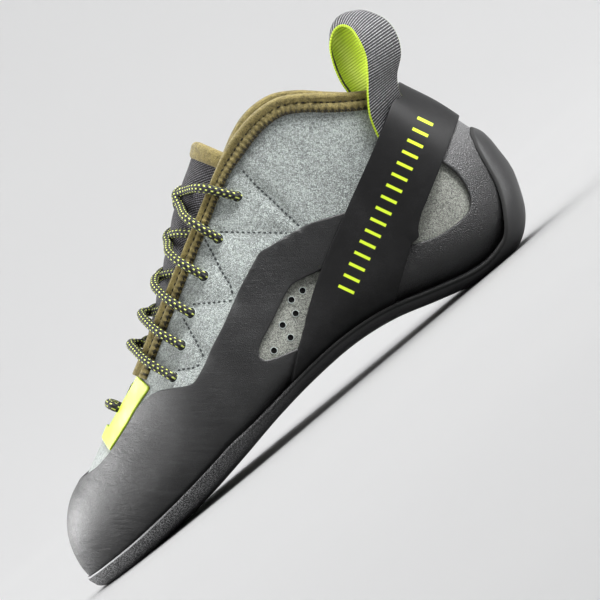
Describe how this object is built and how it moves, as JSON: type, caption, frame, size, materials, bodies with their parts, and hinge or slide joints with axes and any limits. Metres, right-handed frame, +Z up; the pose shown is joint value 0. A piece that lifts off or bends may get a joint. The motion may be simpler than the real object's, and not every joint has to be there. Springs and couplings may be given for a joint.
{
  "type": "climbing shoe",
  "caption": "Left climbing shoe, grey suede with a downturned rubber sole, full rand, laces to the toe and one pull loop.",
  "frame": {"origin": "bottom centre of the shoe's box, on the floor it stands on", "axes": "+X from the toe to the heel, +Y to the inner (medial) side, +Z up"},
  "size_m": [0.2513, 0.0907, 0.1257],
  "materials": {
    "grey_suede": "matte",
    "black_rubber": "satin",
    "band_rubber": "satin",
    "sole_rubber": "matte",
    "olive_tape": "matte",
    "dark_weave": "matte",
    "lime_strip": "satin",
    "lace_cord": "matte",
    "loop_webbing": "matte",
    "insole_board": "matte"
  },
  "bodies": {
    "root": {"upper": "grey_suede", "outsole": "sole_rubber", "insole": "insole_board", "tongue": "dark_weave", "tongue_binding": "olive_tape", "collar_binding": "olive_tape", "throat_patch": "lime_strip", "rand": "black_rubber", "heel_rand": "black_rubber", "tension_band": "band_rubber", "lace": "lace_cord", "pull_loop": "loop_webbing"}
  },
  "joints": []
}
